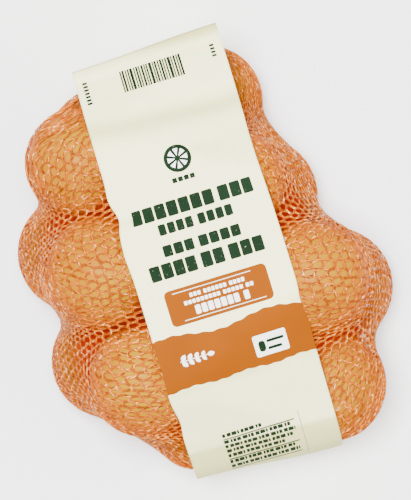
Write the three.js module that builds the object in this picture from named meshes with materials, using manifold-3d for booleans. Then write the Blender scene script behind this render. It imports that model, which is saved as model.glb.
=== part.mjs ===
// A 2.5 kg net of oranges with a printed film band round its length, lying with the label up.
// Millimetres, +Z up. The bag's head, with the welded film header, points to +Y.
// Two nodes: the net, pulled tight over the fruit as one lumpy solid, and the thin film band round it.
import * as THREE from "three";
import { mergeVertices } from "three/addons/utils/BufferGeometryUtils.js";
import Module from "manifold-3d";

// The fruit, two layers of it: centre x, y, z and radius of each orange, before they settle.
const ORANGES = [
  [-78.3, 19.5, 36.5, 36.3], // lower layer, left side
  [-75, -47.5, 35.5, 35.5],
  [71, -47, 36.5, 36.5], // lower layer, right side
  [40.5, 22.5, 35.5, 35.5],
  [29.3, 90, 36, 34], // lower layer, head end
  [-42, 83, 35.5, 35.5],
  [-17, -14, 36, 36], // lower layer, under the band
  [-34.5, -96.8, 48, 34.6],
  [-57.8, 71.7, 102, 32.8], // upper layer, left side
  [-63, 4.5, 106, 35.5],
  [-58, -61, 103, 35],
  [26, 34.5, 104, 34.5], // upper layer, right side
  [57, -35, 106, 36],
  [48.5, -101, 75, 35.5],
];
const SETTLE_PASSES = 200;

// The net: a tube of rings from the head slit to the foot slit, each end welded flat in the film.
const NET_THICKNESS = 0.8;
const SLIT_HALF_WIDTH = 44;
const SLIT_HALF_HEIGHT = 1.3;
const HEAD_SLIT = { centre: [0, 116, 111], across: [1, 0.04, 0], up: [0, -0.4, 1] };
const FOOT_SLIT = { centre: [0, -132.5, 61], across: [1, -0.07, 0.06], up: [0, -0.1, 1] };
const MIDDLE = { centre: [-4, 0, 60], across: [1, 0, 0], up: [0, 0, 1] };
const MIDDLE_HALF_HEIGHT = 66;
const MIDDLE_HALF_WIDTH = 96;
const MOUTH_LENGTH = 0.3; // share of the length over which a slit opens out
const MOUTH_FLARE = 0.6; // under 1, so that the net opens out fast
const RING_CROWDING = 0.55; // rings stand closer together at the ends
const LEAST_REACH = 0.04;
const START_REACH = 1.25;
const COLUMNS = 72;
const RINGS = 58;
const HOOP_TENSION = 1;
const LENGTH_TENSION = 0.12;
const FOOT_TENSION = 2.5; // at the foot the net is gathered, and drawn tight along its length
const GATHER_FROM = 0.66; // share of the length where that begins, and where it is complete
const GATHER_TO = 0.86;
const NET_PASSES = 900;
const HOLLOW_DEPTH = 7; // between the oranges the net is open, and the solid lies this much deeper
const HOLLOW_EASE = 8; // rings over which that depth grows from the head slit

// The film band: a loop pulled tight over the fruit lengthwise, with a flat header at the head.
const BAND_WIDTH = 93;
const FILM = 0.6;
const FILM_STAND_OFF = 1.3;
const GAP = 0.35;
const HEADER_Z = 111;
const HEADER_ROOT_Y = { left: 117.5, right: 120.5 };
const HEADER_EDGE_Y = { left: 127.6, right: 131 };
const HEADER_CORNER = 2;
// The foot fold in each half of the band: y, z and radius of the bend.
const FOOT_FOLD = { left: [-133.4, 60, 2], right: [-140, 64, 2] };
// The band is too stiff to follow the fruit down at its left foot: there it floats on this circle.
const FLOATING_CIRCLE = [-100, 71, 35];
const PROFILE_STEPS = 96;
const STATIONS = 6;
const WELD_RADIUS = 0.1;
const SEAM_CLEARANCE = 8; // the two halves' profiles leave this much each side of the middle
const TRIM_MARGIN = 1.5;
const OVERHANG = 10;
const BLOCK_SIDE = 700; // of the blocks that cut, larger than the bag

const wasm = await Module();
wasm.setup();

const mix = (a, b, t) => a + (b - a) * t;
const mixVector = (a, b, t) => a.map((v, k) => mix(v, b[k], t));

// Pushes touching oranges apart and keeps them on the table.
function settle(oranges) {
  const fruit = oranges.map(([x, y, z, radius]) => ({ centre: new THREE.Vector3(x, y, z), radius }));
  const apart = new THREE.Vector3();
  for (let pass = 0; pass < SETTLE_PASSES; pass++) {
    for (let i = 0; i < fruit.length; i++) {
      for (let j = i + 1; j < fruit.length; j++) {
        apart.subVectors(fruit[j].centre, fruit[i].centre);
        const gap = apart.length() - fruit[i].radius - fruit[j].radius;
        if (gap >= 0) continue;
        apart.setLength(gap / 2);
        fruit[i].centre.add(apart);
        fruit[j].centre.sub(apart);
      }
    }
    for (const one of fruit) one.centre.z = Math.max(one.centre.z, one.radius);
  }
  return fruit;
}

// Where ring t (0 at the head, 1 at the foot) stands, and the two directions that span it.
function ringFrame(t) {
  const end = t < 0.5 ? HEAD_SLIT : FOOT_SLIT;
  const near = Math.min(t, 1 - t);
  const blend = THREE.MathUtils.smoothstep(near, 0, MOUTH_LENGTH);
  const along = t - (RING_CROWDING * Math.sin(2 * Math.PI * t)) / (2 * Math.PI);
  const centre = mixVector(end.centre, MIDDLE.centre, blend);
  centre[1] = mix(HEAD_SLIT.centre[1], FOOT_SLIT.centre[1], along);
  const open = Math.sin(Math.PI * t) ** MOUTH_FLARE;
  return {
    centre: new THREE.Vector3(...centre),
    across: new THREE.Vector3(...mixVector(end.across, MIDDLE.across, blend))
      .multiplyScalar(mix(SLIT_HALF_WIDTH, MIDDLE_HALF_WIDTH, open)),
    up: new THREE.Vector3(...mixVector(end.up, MIDDLE.up, blend))
      .multiplyScalar(mix(SLIT_HALF_HEIGHT, MIDDLE_HALF_HEIGHT, open)),
  };
}

// How much the net is gathered at ring j: 0 in the middle of the bag and 1 at its foot.
const gatheredAt = (j) => THREE.MathUtils.smoothstep(j / RINGS, GATHER_FROM, GATHER_TO);

// How far along a ray the fruit reaches: the ray leaves its last orange at this multiple.
function fruitReach(origin, ray, fruit) {
  let reach = LEAST_REACH;
  const square = ray.lengthSq();
  for (const { centre, radius } of fruit) {
    const to = new THREE.Vector3().subVectors(centre, origin);
    const half = ray.dot(to);
    const root = half * half - square * (to.lengthSq() - (radius + NET_THICKNESS) ** 2);
    if (root > 0) reach = Math.max(reach, (half + Math.sqrt(root)) / square);
  }
  return reach;
}

// The net shrinks like a taut skin: every point slides along its ray to the mean of its
// neighbours, but not into the fruit and not under the table.
function tautNet(fruit) {
  const rings = [];
  for (let j = 0; j <= RINGS; j++) {
    const frame = ringFrame(j / RINGS);
    const ring = [];
    for (let i = 0; i < COLUMNS; i++) {
      const angle = (2 * Math.PI * i) / COLUMNS;
      const ray = frame.across.clone().multiplyScalar(Math.cos(angle))
        .addScaledVector(frame.up, Math.sin(angle));
      const isSlit = j === 0 || j === RINGS;
      const inner = isSlit ? 1 : fruitReach(frame.centre, ray, fruit);
      const table = ray.z < 0 ? frame.centre.z / -ray.z : Infinity;
      const at = frame.centre.clone().addScaledVector(ray, isSlit ? 1 : START_REACH);
      ring.push({ origin: frame.centre, ray, inner, table, at });
    }
    rings.push(ring);
  }
  const mean = new THREE.Vector3();
  for (let pass = 0; pass < NET_PASSES; pass++) {
    for (let j = 1; j < RINGS; j++) {
      const ahead = rings[j - 1][0].origin.distanceTo(rings[j][0].origin);
      const behind = rings[j + 1][0].origin.distanceTo(rings[j][0].origin);
      const tension = mix(LENGTH_TENSION, FOOT_TENSION, gatheredAt(j));
      for (let i = 0; i < COLUMNS; i++) {
        const point = rings[j][i];
        mean.set(0, 0, 0)
          .addScaledVector(rings[j][(i + 1) % COLUMNS].at, HOOP_TENSION)
          .addScaledVector(rings[j][(i + COLUMNS - 1) % COLUMNS].at, HOOP_TENSION)
          .addScaledVector(rings[j - 1][i].at, (2 * tension * behind) / (ahead + behind))
          .addScaledVector(rings[j + 1][i].at, (2 * tension * ahead) / (ahead + behind))
          .divideScalar(2 * (HOOP_TENSION + tension))
          .sub(point.origin);
        const pulled = mean.dot(point.ray) / point.ray.lengthSq();
        const reach = Math.min(Math.max(pulled, point.inner), point.table);
        point.at.copy(point.origin).addScaledVector(point.ray, reach);
      }
    }
  }
  return rings.map((ring, j) => ring.map((point) => hollowed(point, j)));
}

// A point of the net let down towards the fruit behind it, but not into it.
function hollowed({ origin, ray, inner, at }, j) {
  const depth = HOLLOW_DEPTH * THREE.MathUtils.smoothstep(j, 0, HOLLOW_EASE) * (1 - gatheredAt(j));
  const taut = at.clone().sub(origin).dot(ray) / ray.lengthSq();
  const reach = Math.max(taut - depth / ray.length(), Math.min(inner, taut));
  return origin.clone().addScaledVector(ray, reach);
}

// A closed solid from rows of points: each row is a loop, the two end rows are closed by fans.
function loopSolid(rows) {
  const count = rows[0].length;
  const middle = (row) => row.reduce((sum, p) => sum.add(p), new THREE.Vector3()).divideScalar(count);
  const points = [...rows.flat(), middle(rows[0]), middle(rows.at(-1))];
  const first = rows.length * count;
  const faces = [];
  for (let j = 0; j + 1 < rows.length; j++) {
    for (let i = 0; i < count; i++) {
      const a = j * count + i;
      const b = j * count + ((i + 1) % count);
      faces.push(a, a + count, b, b, a + count, b + count);
    }
  }
  for (let i = 0; i < count; i++) {
    const next = (i + 1) % count;
    const last = (rows.length - 1) * count;
    faces.push(first, i, next, first + 1, last + next, last + i);
  }
  const geometry = new THREE.BufferGeometry().setFromPoints(points);
  geometry.setIndex(faces);
  return solidOf(geometry);
}

function solidOf(geometry) {
  const bare = geometry.clone();
  bare.deleteAttribute("normal");
  bare.deleteAttribute("uv");
  const merged = mergeVertices(bare, 1e-4);
  const triVerts = new Uint32Array(merged.index.array);
  const build = () => new wasm.Manifold(
    new wasm.Mesh({ numProp: 3, vertProperties: merged.attributes.position.array, triVerts }),
  );
  const solid = build();
  if (solid.volume() > 0) return solid;
  for (let k = 0; k < triVerts.length; k += 3) {
    [triVerts[k + 1], triVerts[k + 2]] = [triVerts[k + 2], triVerts[k + 1]];
  }
  return build();
}

// The side view of a loop pulled tight round circles of [y, z, radius].
function tightLoop(circles) {
  return Array.from({ length: PROFILE_STEPS }, (_, k) => {
    const angle = (2 * Math.PI * (k + 0.5)) / PROFILE_STEPS;
    const [ny, nz] = [Math.cos(angle), Math.sin(angle)];
    const [y, z, radius] = circles.reduce((best, one) =>
      (one[0] * ny + one[1] * nz + one[2] > best[0] * ny + best[1] * nz + best[2] ? one : best));
    return [y + radius * ny, z + radius * nz];
  });
}

// The circles that one half of the band lies on: the widest slice of each orange in that half,
// the bend at the foot and the weld line at the head.
function halfCircles(fruit, side, standOff) {
  const half = side < 0 ? "left" : "right";
  const circles = [];
  for (const { centre, radius } of fruit) {
    const nearest = THREE.MathUtils.clamp(side * centre.x, SEAM_CLEARANCE, BAND_WIDTH / 2);
    const slice = radius * radius - (side * centre.x - nearest) ** 2;
    if (slice > 0) circles.push([centre.y, centre.z, Math.sqrt(slice) + standOff]);
  }
  const bend = standOff - FILM_STAND_OFF + WELD_RADIUS;
  const [foldY, foldZ, foldRadius] = FOOT_FOLD[half];
  const [floatY, floatZ, floatRadius] = FLOATING_CIRCLE;
  circles.push([foldY, foldZ, foldRadius + bend], [floatY, floatZ, floatRadius + bend]);
  circles.push([HEADER_ROOT_Y[half], HEADER_Z, bend]);
  return circles;
}

// The loop as a solid block, ruled from the left half's profile to the right half's.
// With an overhang it runs straight on past both edges of the band.
function bandBlock(fruit, standOff, overhang = 0) {
  const left = tightLoop(halfCircles(fruit, -1, standOff));
  const right = tightLoop(halfCircles(fruit, 1, standOff));
  const row = (x, t) => left.map(([y, z], k) =>
    new THREE.Vector3(x, mix(y, right[k][0], t), mix(z, right[k][1], t)));
  const rows = [];
  for (let s = 0; s <= STATIONS; s++) {
    const t = s / STATIONS;
    rows.push(row(mix(-BAND_WIDTH / 2, BAND_WIDTH / 2, t), THREE.MathUtils.smoothstep(t, 0, 1)));
  }
  if (overhang > 0) {
    rows.unshift(row(-BAND_WIDTH / 2 - overhang, 0));
    rows.push(row(BAND_WIDTH / 2 + overhang, 1));
  }
  return loopSolid(rows);
}

// The header: the film's plies welded flat past the net.
function header() {
  const right = BAND_WIDTH / 2;
  const outline = new THREE.Shape([
    new THREE.Vector2(-right, HEADER_ROOT_Y.left - HEADER_CORNER),
    new THREE.Vector2(right, HEADER_ROOT_Y.right - HEADER_CORNER),
    new THREE.Vector2(right, HEADER_EDGE_Y.right - HEADER_CORNER),
    new THREE.Vector2(right - HEADER_CORNER, HEADER_EDGE_Y.right),
    new THREE.Vector2(-right, HEADER_EDGE_Y.left),
  ]);
  const plate = new THREE.ExtrudeGeometry(outline, { depth: 2 * FILM, bevelEnabled: false });
  return solidOf(plate.translate(0, 0, HEADER_Z - FILM));
}

// A block wider and longer than the bag, from z = bottom up.
function above(bottom) {
  const block = new THREE.BoxGeometry(BLOCK_SIDE, BLOCK_SIDE, BLOCK_SIDE);
  return solidOf(block.translate(0, 0, bottom + BLOCK_SIDE / 2));
}

// The band is the shell between two loops, its underside flat on the table.
function filmSolid(fruit) {
  const outer = bandBlock(fruit, FILM_STAND_OFF + FILM).intersect(above(0));
  const inner = bandBlock(fruit, FILM_STAND_OFF, OVERHANG).intersect(above(FILM));
  return outer.add(header()).subtract(inner);
}

// The net's solid, trimmed to lie inside the band where the band passes over it.
function netSolid(fruit) {
  const room = bandBlock(fruit, FILM_STAND_OFF - GAP, OVERHANG).intersect(above(FILM + GAP));
  const strip = solidOf(new THREE.BoxGeometry(BAND_WIDTH + 2 * TRIM_MARGIN, BLOCK_SIDE, BLOCK_SIDE));
  return loopSolid(tautNet(fruit)).subtract(strip.subtract(room));
}

const fruit = settle(ORANGES);
const net = netSolid(fruit);
const film = filmSolid(fruit);

// A mesh with flat faces from a solid.
function meshOf(name, solid, color, roughness) {
  const { vertProperties, triVerts } = solid.getMesh();
  const geometry = new THREE.BufferGeometry()
    .setAttribute("position", new THREE.BufferAttribute(vertProperties, 3))
    .setIndex(new THREE.BufferAttribute(triVerts, 1));
  const flat = geometry.toNonIndexed();
  flat.computeVertexNormals();
  const mesh = new THREE.Mesh(flat, new THREE.MeshStandardMaterial({ color, roughness }));
  mesh.name = name;
  return mesh;
}

const group = new THREE.Group();
group.add(meshOf("net", net, 0xee974d, 0.6), meshOf("label_band", film, 0xf6f3e0, 0.4));

// The origin is under the middle of the whole bag.
const box = new THREE.Box3().setFromObject(group);
const middle = box.getCenter(new THREE.Vector3());
group.position.set(-middle.x, -middle.y, -box.min.z);

export default group;
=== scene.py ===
# %% [markdown]
# A 2.5 kg net of oranges, seen from above.
# The bag is a knitted plastic net pulled tight over fourteen oranges, with a printed film band
# wrapped round it lengthwise. The solids in the frame are plain: one lump for net and fruit, one
# thin loop for the band. Here the lump becomes real oranges under a net of real strands, and the
# loop becomes a thin printed film. The bag's lengths are in millimetres, and turn into metres only
# when a mesh is made. The lamps and the floor, which aren't part of the bag, are in metres.

# %% Load the frame
import math
import bpy
import bmesh
import numpy as np
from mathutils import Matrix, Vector
from mathutils.kdtree import KDTree


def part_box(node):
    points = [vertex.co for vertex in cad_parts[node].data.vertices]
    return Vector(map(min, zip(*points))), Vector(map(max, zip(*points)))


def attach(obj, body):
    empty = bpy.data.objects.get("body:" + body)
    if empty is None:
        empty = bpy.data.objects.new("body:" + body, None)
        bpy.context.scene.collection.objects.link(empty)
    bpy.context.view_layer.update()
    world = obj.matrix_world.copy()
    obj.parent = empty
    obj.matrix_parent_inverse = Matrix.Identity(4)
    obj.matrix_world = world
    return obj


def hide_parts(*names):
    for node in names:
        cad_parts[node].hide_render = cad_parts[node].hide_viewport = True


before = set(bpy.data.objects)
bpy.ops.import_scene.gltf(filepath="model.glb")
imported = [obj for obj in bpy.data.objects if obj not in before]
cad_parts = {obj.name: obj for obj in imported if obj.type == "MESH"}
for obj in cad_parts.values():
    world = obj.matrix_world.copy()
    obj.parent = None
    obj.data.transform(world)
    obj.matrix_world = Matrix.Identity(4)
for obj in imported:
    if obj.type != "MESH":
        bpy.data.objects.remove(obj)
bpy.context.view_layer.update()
MM = 0.001

# %% [markdown]
# The fruit decides every other shape, so it comes first. A packer drops oranges into the net and
# they find their places, two layers deep. A physics run would do that too, but never into the
# places of the bag on the photograph, so the centres are given one by one and a short loop only
# pushes touching oranges apart.

# %% The oranges' places
ORANGES = np.array([  # centre x, y, z and radius
    (-78.3, 19.5, 36.5, 36.3),   # lower layer, left side
    (-75.0, -47.5, 35.5, 35.5),
    (71.0, -47.0, 36.5, 36.5),   # lower layer, right side
    (40.5, 22.5, 35.5, 35.5),
    (29.3, 90.0, 36.0, 34.0),    # lower layer, head end
    (-42.0, 83.0, 35.5, 35.5),
    (-17.0, -14.0, 36.0, 36.0),  # lower layer, under the band
    (-34.5, -96.8, 48.0, 34.6),  # foot, left side
    (-57.8, 71.7, 102.0, 32.8),  # upper layer, left side
    (-63.0, 4.5, 106.0, 35.5),
    (-58.0, -61.0, 103.0, 35.0),
    (26.0, 34.5, 104.0, 34.5),   # upper layer, right side
    (57.0, -35.0, 106.0, 36.0),
    (48.5, -101.0, 75.0, 35.5),  # foot, right side
])


def settle(fruit, passes=200):
    """Pushes touching oranges apart and keeps them on the table."""
    centre, radius = fruit[:, :3].copy(), fruit[:, 3]
    for _ in range(passes):
        for i in range(len(centre)):
            for j in range(i + 1, len(centre)):
                apart = centre[j] - centre[i]
                distance = np.linalg.norm(apart)
                gap = distance - radius[i] - radius[j]
                if gap < 0:
                    centre[i] += apart / distance * gap / 2
                    centre[j] -= apart / distance * gap / 2
        centre[:, 2] = np.maximum(centre[:, 2], radius)
    return centre, radius


centres, radii = settle(ORANGES)
print(len(centres), "oranges of", round(2 * radii.mean(), 1), "mm")

# %% [markdown]
# The band is a loop of film pulled tight over the fruit from head to foot. Seen from the side, a
# tight loop is the outline of the circles that it wraps, and its furthest point in any direction
# belongs to one circle: that is a short rule, with no simulation. One outline is made for the left
# half and one for the right, and straight lines across join points that face the same way, which
# is how a film that can't stretch bends.

# %% The band's two outlines
BAND_WIDTH = 93.0
FILM_STAND_OFF = 1.9
HEADER_Z = 111.0
HEADER_ROOT_Y = {"left": 117.5, "right": 120.5}
HEADER_EDGE_Y = {"left": 127.6, "right": 131.0}
FOOT_FOLD = {"left": (-133.4, 60, 2), "right": (-140, 64, 2)}  # y, z and radius
FLOATING_CIRCLE = (-100, 71, 35)  # the film at the foot where no fruit holds it
INNERMOST_SLICE = 8
LOOP_THICKNESS = 0.6
BEND_RADIUS = LOOP_THICKNESS + 0.1
OUTLINE_STEPS = 384


def half_circles(side):
    """Circles (y, z, radius) that the left (-1) or right (1) half of the band lies on."""
    half = "left" if side < 0 else "right"
    circles = []
    for (x, y, z), radius in zip(centres, radii):
        nearest = min(max(side * x, INNERMOST_SLICE), BAND_WIDTH / 2)
        slice_square = radius ** 2 - (side * x - nearest) ** 2
        if slice_square > 0:
            circles.append((y, z, math.sqrt(slice_square) + FILM_STAND_OFF))
    for y, z, radius in (FOOT_FOLD[half], FLOATING_CIRCLE):
        circles.append((y, z, radius + BEND_RADIUS))
    circles.append((HEADER_ROOT_Y[half], HEADER_Z, BEND_RADIUS))
    return np.array(circles)


facing = 2 * np.pi * (np.arange(OUTLINE_STEPS) + 0.5) / OUTLINE_STEPS
FACING = np.stack([np.cos(facing), np.sin(facing)], 1)


def tight_loop(circles):
    """The loop's point for each facing, and how far the loop stands out that way."""
    reach = FACING @ circles[:, :2].T + circles[:, 2]
    best = circles[reach.argmax(1)]
    return best[:, :2] + best[:, 2:] * FACING, reach.max(1)


loop_left, reach_left = tight_loop(half_circles(-1))
loop_right, reach_right = tight_loop(half_circles(1))
print("the band stands", round(loop_left[:, 1].max(), 1), "mm over the table on the left")

# %% [markdown]
# The camera looks straight down from 1.6 m, turned so that the bag's head leans to the left. At
# that height one photograph pixel is 0.64 mm on the lower layer, and the upper layer comes out
# 5% larger, as it does on the photograph. The light is a broad soft box over the camera with a
# pale room round it, which gives the small highlight on top of each orange.

# %% The camera
node_low, node_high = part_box("label_band")
SHIFT = np.array([node_low.x / MM + BAND_WIDTH / 2, node_high.y / MM - HEADER_EDGE_Y["right"], 0.0])
CAMERA_HEIGHT = 1600.0
LOWER_LAYER = 37.0
MM_PER_PIXEL = 0.64
LEAN = math.radians(17)
FRAME_PIXELS = 500
SENSOR = 36.0

camera_data = bpy.data.cameras.new("camera_from_above")
camera = bpy.data.objects.new("camera_from_above", camera_data)
bpy.context.scene.collection.objects.link(camera)
camera.location = Vector(SHIFT + (0, 0, CAMERA_HEIGHT)) * MM
camera.rotation_euler = (0, 0, -LEAN)
camera_data.sensor_fit = "VERTICAL"
camera_data.sensor_height = SENSOR
camera_data.lens = SENSOR * (CAMERA_HEIGHT - LOWER_LAYER) / (FRAME_PIXELS * MM_PER_PIXEL)
bpy.context.scene.camera = camera
print("lens", round(camera_data.lens, 1), "mm, shift", SHIFT.round(2))

# %% The lights and the floor
LAMP_TARGET = Vector((0, 0, 0.05))
ROOM_LIGHT = 0.6
FLOOR_SIDE = 3.0
FLOOR_GREY = 0.97


def soft_box(name, place, size, power):
    """A square lamp that faces the bag."""
    data = bpy.data.lights.new(name, "AREA")
    data.shape = "SQUARE"
    data.size = size
    data.energy = power
    lamp = bpy.data.objects.new(name, data)
    lamp.location = place
    aim = LAMP_TARGET - Vector(place)
    lamp.rotation_euler = aim.to_track_quat("-Z", "Y").to_euler()
    bpy.context.scene.collection.objects.link(lamp)
    print(name, power, "W")


soft_box("overhead_box", (-0.12, 0.16, 2.0), 0.6, 150)
soft_box("side_box", (1.3, -0.7, 1.3), 0.9, 20)
room = bpy.data.worlds.new("pale_room")
bpy.context.scene.world = room
room.use_nodes = True
backdrop = room.node_tree.nodes["Background"]
backdrop.inputs["Color"].default_value = (1, 1, 1, 1)
backdrop.inputs["Strength"].default_value = ROOM_LIGHT

bpy.ops.mesh.primitive_plane_add(size=FLOOR_SIDE)
floor = bpy.context.object
floor.name = "floor"
floor_paint = bpy.data.materials.new("floor_paint")
floor_paint.use_nodes = True
floor_shader = floor_paint.node_tree.nodes["Principled BSDF"]
floor_shader.inputs["Base Color"].default_value = (FLOOR_GREY, FLOOR_GREY, FLOOR_GREY, 1)
floor_shader.inputs["Roughness"].default_value = 0.9
floor.data.materials.append(floor_paint)

# %% [markdown]
# A few helpers serve every piece. One makes a mesh from arrays of points and faces, and it is where
# millimetres turn into metres. The others make one shader node each and hand back its output, so a
# material further down reads from its base colour to its bumps in a few lines.

# %% A helper for meshes
def piece_from(name, points, faces, material):
    """A smooth mesh piece from points in millimetres, riding on the bag."""
    mesh = bpy.data.meshes.new(name)
    placed = (np.asarray(points, float) + SHIFT) * MM
    mesh.from_pydata(placed.tolist(), [], faces if isinstance(faces, list) else faces.tolist())
    mesh.update()
    piece = bpy.data.objects.new(name, mesh)
    bpy.context.scene.collection.objects.link(piece)
    mesh.materials.append(material)
    mesh.polygons.foreach_set("use_smooth", [True] * len(mesh.polygons))
    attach(piece, "root")
    return piece


def give_values(piece, name, values):
    """Stores one number for each point, for the material to read."""
    piece.data.attributes.new(name, "FLOAT", "POINT").data.foreach_set("value", np.ravel(values))


# %% Helpers for materials
def linear(red, green, blue):
    """A colour in linear light, as a shader takes it."""
    return (red, green, blue, 1)


BLACK, WHITE = linear(0, 0, 0), linear(1, 1, 1)


def start_material(name, roughness, specular):
    material = bpy.data.materials.new(name)
    material.use_nodes = True
    tree = material.node_tree
    shader = tree.nodes["Principled BSDF"]
    shader.inputs["Roughness"].default_value = roughness
    shader.inputs["Specular IOR Level"].default_value = specular
    return material, tree, shader


def feed(tree, socket, value):
    """Links an output to the socket, or sets the socket to a constant."""
    if isinstance(value, bpy.types.NodeSocket):
        tree.links.new(value, socket)
    else:
        socket.default_value = value


def value_of(tree, name):
    """A number stored on the mesh."""
    node = tree.nodes.new("ShaderNodeAttribute")
    node.attribute_name = name
    return node.outputs["Fac"]


def noise(tree, scale, detail):
    """Soft noise from 0 to 1, fixed to the piece."""
    coords = tree.nodes.new("ShaderNodeTexCoord")
    node = tree.nodes.new("ShaderNodeTexNoise")
    node.inputs["Scale"].default_value = scale
    node.inputs["Detail"].default_value = detail
    tree.links.new(coords.outputs["Object"], node.inputs["Vector"])
    return node.outputs["Fac"]


def ramp(tree, value, stops):
    """Colours for a value: stops are (position, colour) pairs."""
    node = tree.nodes.new("ShaderNodeValToRGB")
    tree.links.new(value, node.inputs["Fac"])
    elements = node.color_ramp.elements
    for k, (position, colour) in enumerate(stops):
        stop = elements[k] if k < 2 else elements.new(position)
        stop.position = position
        stop.color = colour
    return node.outputs["Color"]


def mixed(tree, factor, a, b, blend="MIX"):
    """Two colours mixed; each of them, and the factor, is an output or a constant."""
    node = tree.nodes.new("ShaderNodeMix")
    node.data_type = "RGBA"
    node.blend_type = blend
    for name, value in (("Factor", factor), ("A", a), ("B", b)):
        feed(tree, node.inputs[name], value)
    return node.outputs["Result"]


def worked_out(tree, operation, *terms):
    """The result of a sum; each term is an output or a number."""
    node = tree.nodes.new("ShaderNodeMath")
    node.operation = operation
    for socket, term in zip(node.inputs, terms):
        feed(tree, socket, term)
    return node.outputs["Value"]


def bump(tree, height, strength, distance, onto=None):
    """Turns a height into a bent normal; distance is in millimetres."""
    node = tree.nodes.new("ShaderNodeBump")
    node.inputs["Strength"].default_value = strength
    node.inputs["Distance"].default_value = distance * MM
    tree.links.new(height, node.inputs["Height"])
    if onto is not None:
        tree.links.new(onto, node.inputs["Normal"])
    return node.outputs["Normal"]

# %% [markdown]
# The net is a tube of knitted mesh, sewn flat into the film at both ends and stretched by the
# fruit. A cloth run would need a very fine mesh to find that shape, and a small rule finds it just
# as well: every point of the tube may slide along its own ray from the bag's axis, and is pulled
# to the mean of its neighbours, but never into an orange, through the table or out of the band.
# Rings round the bag pull harder than columns along it, as a loaded net does, so the net dips
# between the oranges. At the foot the net is gathered into the fold, so there it's drawn along its
# length instead, and so it is past the gap on the right near the head, where no orange lies.

# %% The taut net
NET_THICKNESS = 0.8
SLIT_HALF_WIDTH, SLIT_HALF_HEIGHT = 44.0, 1.3
MIDDLE_HALF_WIDTH, MIDDLE_HALF_HEIGHT = 96.0, 66.0
HEAD_SLIT = {"centre": (0, 116, 111), "across": (1, 0.04, 0), "up": (0, -0.4, 1)}
FOOT_SLIT = {"centre": (0, -132.5, 61), "across": (1, -0.07, 0.06), "up": (0, -0.1, 1)}
MIDDLE = {"centre": (-4, 0, 60), "across": (1, 0, 0), "up": (0, 0, 1)}
MOUTH_LENGTH, MOUTH_FLARE, RING_CROWDING = 0.3, 0.6, 0.55
HOOP_TENSION, LENGTH_TENSION, FOOT_TENSION = 1.0, 0.12, 2.5
GATHER_FROM, GATHER_TO = 0.66, 0.86
WAIST_AT, WAIST_LENGTH, WAIST_TENSION = 0.26, 0.09, 1.6
COARSE_RINGS, COARSE_COLUMNS = 58, 72
COARSE_PASSES, FINE_PASSES = 2200, 260
LEAST_REACH, START_REACH = 0.04, 1.25


def mix(a, b, t):
    return a + (b - a) * t


def smoothstep(t):
    t = np.clip(t, 0, 1)
    return t * t * (3 - 2 * t)


def ring_rays(rings, columns):
    """Origins of the rings and the ray of every point of the tube."""
    t = np.linspace(0, 1, rings + 1)
    blend = smoothstep(np.minimum(t, 1 - t) / MOUTH_LENGTH)[:, None]
    at_head = (t < 0.5)[:, None]
    vectors = {}
    for key in ("centre", "across", "up"):
        end = np.where(at_head, np.array(HEAD_SLIT[key], float), np.array(FOOT_SLIT[key], float))
        vectors[key] = mix(end, np.array(MIDDLE[key], float), blend)
    along = t - RING_CROWDING * np.sin(2 * np.pi * t) / (2 * np.pi)
    vectors["centre"][:, 1] = mix(HEAD_SLIT["centre"][1], FOOT_SLIT["centre"][1], along)
    opened = np.sin(np.pi * t).clip(0) ** MOUTH_FLARE
    wide = mix(SLIT_HALF_WIDTH, MIDDLE_HALF_WIDTH, opened)
    high = mix(SLIT_HALF_HEIGHT, MIDDLE_HALF_HEIGHT, opened)
    angle = np.linspace(0, 2 * np.pi, columns, endpoint=False)
    across = vectors["across"][:, None] * (wide[:, None] * np.cos(angle))[..., None]
    up = vectors["up"][:, None] * (high[:, None] * np.sin(angle))[..., None]
    return vectors["centre"], across + up


def fruit_reach(origins, rays):
    """How many times its length a ray reaches before it leaves its last orange."""
    reach = np.full(rays.shape[:2], LEAST_REACH)
    square = (rays ** 2).sum(-1)
    for centre, radius in zip(centres, radii):
        to_centre = (centre - origins)[:, None]
        half = (rays * to_centre).sum(-1)
        root = half ** 2 - square * ((to_centre ** 2).sum(-1) - (radius + NET_THICKNESS) ** 2)
        touched = (half + np.sqrt(np.maximum(root, 0))) / square
        reach = np.where(root > 0, np.maximum(reach, touched), reach)
    return reach


def tighten(rings, columns, reach, passes):
    """Slides the points of the tube until the net is taut."""
    origins, rays = ring_rays(rings, columns)
    square = (rays ** 2).sum(-1)
    inner = fruit_reach(origins, rays)
    height = origins[:, 2][:, None]
    table = np.where(rays[..., 2] < 0, height / np.maximum(-rays[..., 2], 1e-6), np.inf)
    step = np.linalg.norm(np.diff(origins, axis=0), axis=1)
    ahead, behind = step[:-1, None, None], step[1:, None, None]
    to_head, to_foot = 2 * behind / (ahead + behind), 2 * ahead / (ahead + behind)
    centre = origins[:, None]
    along = np.linspace(0, 1, rings + 1)[1:-1, None, None]
    gathered = smoothstep((along - GATHER_FROM) / (GATHER_TO - GATHER_FROM))
    turn = np.linspace(0, 2 * np.pi, columns, endpoint=False)[None, :, None]
    waist = np.exp(-((along - WAIST_AT) / WAIST_LENGTH) ** 2) * np.cos(turn).clip(0)
    tension = mix(LENGTH_TENSION, FOOT_TENSION, gathered) + WAIST_TENSION * waist
    for _ in range(passes):
        at = centre + rays * reach[..., None]
        ring = at[1:-1]
        pull = HOOP_TENSION * (np.roll(ring, 1, 1) + np.roll(ring, -1, 1))
        pull = pull + tension * (at[:-2] * to_head + at[2:] * to_foot)
        mean = pull / (2 * (HOOP_TENSION + tension)) - centre[1:-1]
        slid = (mean * rays[1:-1]).sum(-1) / square[1:-1]
        reach[1:-1] = np.minimum(np.maximum(slid, inner[1:-1]), table[1:-1])
    return reach, centre + rays * reach[..., None]


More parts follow.
